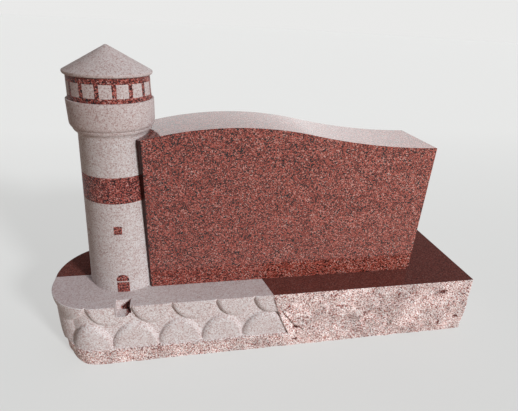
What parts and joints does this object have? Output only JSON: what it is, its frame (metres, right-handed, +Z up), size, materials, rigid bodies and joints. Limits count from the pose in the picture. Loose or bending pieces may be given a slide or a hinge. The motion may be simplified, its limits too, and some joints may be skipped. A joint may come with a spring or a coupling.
{
  "type": "lighthouse memorial monument",
  "caption": "Granite family memorial: carved base, polished upright slab with serpentine top, and a turned lighthouse tower at its end.",
  "frame": {"origin": "middle of the underside", "axes": "+Z up, +X along the base towards its square end, -Y towards the front face"},
  "size_m": [1.3478, 0.3711, 0.88],
  "materials": {
    "rock_pitched_granite": "rock-pitched faces with sandblasted carving and a polished top",
    "polished_granite": "polished red granite with black grain",
    "steeled_granite": "sandblasted pale pink-grey with polished red details"
  },
  "bodies": {
    "root": {"base": "rock_pitched_granite", "upright_slab": "polished_granite", "lighthouse_tower": "steeled_granite"}
  },
  "joints": []
}
